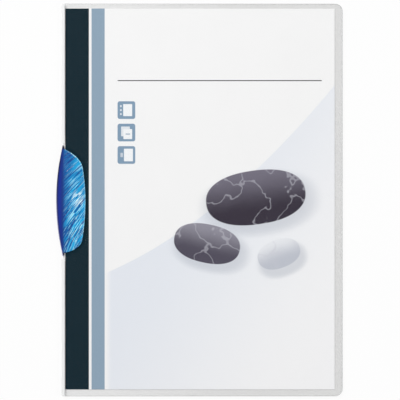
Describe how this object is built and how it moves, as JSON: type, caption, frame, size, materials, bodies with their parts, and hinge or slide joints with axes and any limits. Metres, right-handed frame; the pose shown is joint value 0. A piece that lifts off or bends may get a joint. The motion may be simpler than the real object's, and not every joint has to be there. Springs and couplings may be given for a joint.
{
  "type": "clip folder",
  "caption": "Closed A4 report folder of clear sheet with a printed title sheet, held at the spine by a blue moulded clip that swings aside.",
  "frame": {"origin": "centre of the part's footprint, on the surface it lies on (the underside of the clip's plate)", "axes": "+X from the spine to the open edge, +Y up the page, +Z out of the front cover"},
  "size_m": [0.2234, 0.306, 0.0054],
  "materials": {
    "clear_film": "clear smooth polypropylene sheet",
    "frosted_film": "translucent finely grained polypropylene sheet",
    "printed_paper": "smooth coated paper, printed",
    "clip_blue": "clear blue moulded plastic, polished",
    "rivet_clear": "smooth moulded plastic"
  },
  "bodies": {
    "folder": {"back_cover": "frosted_film", "insert_sheet": "printed_paper", "pivot_rivet": "rivet_clear"},
    "cover": {"front_cover": "clear_film"},
    "clip": {"spine_clip": "clip_blue"}
  },
  "joints": [
    {"name": "cover_open", "type": "hinge", "parent": "folder", "child": "cover", "pos_m": [-0.10625, 0, 0.0048], "axis": [0, -1, 0], "range_deg": [0, 165]},
    {"name": "clip_pivot", "type": "hinge", "parent": "folder", "child": "clip", "pos_m": [-0.1033, 0.037, 0.001], "axis": [0, 0, -1], "range_deg": [0, 80]}
  ]
}
